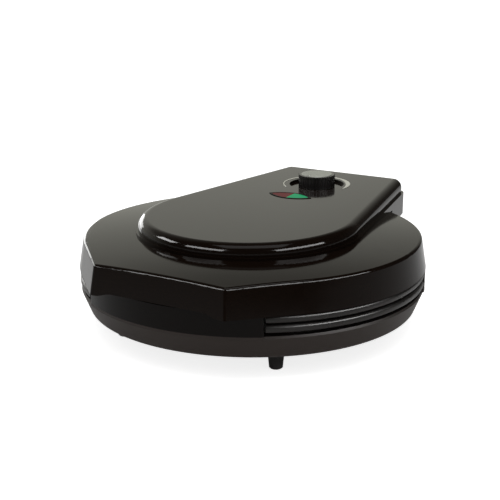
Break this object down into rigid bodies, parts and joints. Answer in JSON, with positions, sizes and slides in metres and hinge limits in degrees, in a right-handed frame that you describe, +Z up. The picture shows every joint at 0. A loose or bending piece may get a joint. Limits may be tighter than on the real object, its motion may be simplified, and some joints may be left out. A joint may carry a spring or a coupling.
{
  "type": "electric pizza maker",
  "caption": "Round countertop pizza maker: a footed base with a lower baking plate, a hinged lid with an upper plate, and a raised control cover with a thermostat knob and lamps.",
  "frame": {"origin": "centre of the bounding box in plan, at the bottom of the feet", "axes": "+Z up, -Y is the front where the lid is lifted, +Y is the hinge, +X is the right hand seen from the front"},
  "size_m": [0.33, 0.37, 0.1193],
  "materials": {
    "black_plastic": "glossy",
    "grey_plastic": "glossy",
    "satin_plastic": "satin",
    "cast_plate": "satin non-stick coated",
    "zinc_screw": "satin",
    "steel_sheet": "satin",
    "element_sheath": "dull",
    "brushed_cap": "brushed",
    "silver_print": "satin",
    "red_lens": "glossy",
    "green_lens": "glossy",
    "clear_glass": "clear",
    "rubber": "matt",
    "ceramic": "matt"
  },
  "bodies": {
    "base": {"base_housing": "satin_plastic", "bottom_cover": "satin_plastic", "bottom_screw_1": "zinc_screw", "bottom_screw_2": "zinc_screw", "bottom_screw_3": "zinc_screw", "cord_gland": "rubber", "foot_1": "rubber", "foot_2": "rubber", "foot_3": "rubber", "foot_4": "rubber", "foot_screw_1": "zinc_screw", "foot_screw_2": "zinc_screw", "foot_screw_3": "zinc_screw", "foot_screw_4": "zinc_screw", "hinge_pin_left": "zinc_screw", "hinge_pin_right": "zinc_screw", "lower_heating_element": "element_sheath", "lower_plate": "cast_plate", "lower_plate_screw_1": "zinc_screw", "lower_plate_screw_2": "zinc_screw", "lower_plate_screw_3": "zinc_screw", "lower_reflector": "steel_sheet", "lower_reflector_screw": "zinc_screw", "terminal_block": "ceramic"},
    "lid": {"control_cover": "grey_plastic", "cover_screw_1": "zinc_screw", "cover_screw_2": "zinc_screw", "cover_screw_3": "zinc_screw", "cover_screw_4": "zinc_screw", "dial_ring": "silver_print", "green_lamp": "clear_glass", "green_lens": "green_lens", "lamp_bezel": "black_plastic", "lamp_holder": "ceramic", "lid_housing": "black_plastic", "red_lamp": "clear_glass", "red_lens": "red_lens", "thermostat": "ceramic", "thermostat_bracket": "steel_sheet", "upper_heating_element": "element_sheath", "upper_plate": "cast_plate", "upper_plate_screw_1": "zinc_screw", "upper_plate_screw_2": "zinc_screw", "upper_plate_screw_3": "zinc_screw", "upper_reflector": "steel_sheet", "upper_reflector_screw": "zinc_screw"},
    "dial": {"knob": "black_plastic", "knob_cap": "brushed_cap", "thermostat_spindle": "zinc_screw"}
  },
  "joints": [
    {"name": "lid_hinge", "type": "hinge", "parent": "base", "child": "lid", "pos_m": [0, 0.166, 0.056], "axis": [-1, 0, 0], "range_deg": [0, 95]},
    {"name": "knob_turn", "type": "hinge", "parent": "lid", "child": "dial", "pos_m": [0, 0.114, 0.1083], "axis": [0, -0.0113, 0.9999], "range_deg": [-270, 0]}
  ]
}
